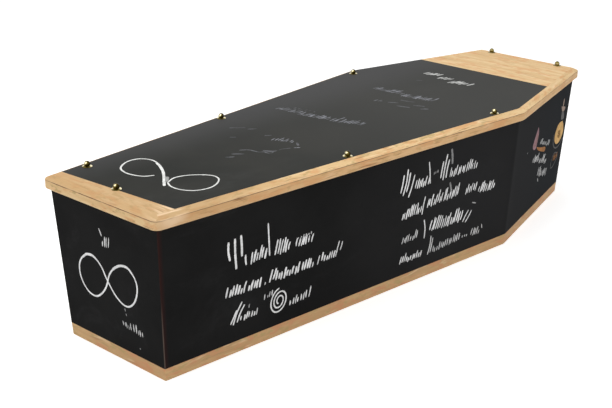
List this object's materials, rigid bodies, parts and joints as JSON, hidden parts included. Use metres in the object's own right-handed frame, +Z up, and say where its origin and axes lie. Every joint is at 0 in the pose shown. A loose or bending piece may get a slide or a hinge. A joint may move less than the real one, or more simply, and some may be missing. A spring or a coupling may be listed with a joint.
{
  "type": "wooden coffin",
  "caption": "Hexagonal wooden coffin with outward-leaning black-painted walls, bare wood base edge and a thick bevelled lid part-painted black, lid fixed with brass ball-headed screws.",
  "frame": {"origin": "on the underside of the base, at the middle of the whole length and width", "axes": "+X along the length towards the head end, +Y towards the left-hand side seen from the foot end, +Z up"},
  "size_m": [1.838, 0.6554, 0.4404],
  "materials": {
    "bare_wood": "bare pale wood, slightly darkened",
    "lid_wood": "bare pale wood, lightly sealed, its flat top painted matt black over most of the length",
    "black_chalkboard_paint": "matt black chalkboard paint on wood, with chalk marks",
    "brass": "polished brass"
  },
  "bodies": {
    "root": {"base_board": "bare_wood", "right_side_board": "black_chalkboard_paint", "left_side_board": "black_chalkboard_paint", "foot_board": "black_chalkboard_paint", "head_board": "black_chalkboard_paint", "lid": "lid_wood", "lid_screw_1": "brass", "lid_screw_2": "brass", "lid_screw_3": "brass", "lid_screw_4": "brass", "lid_screw_5": "brass", "lid_screw_6": "brass", "lid_screw_7": "brass", "lid_screw_8": "brass"}
  },
  "joints": []
}
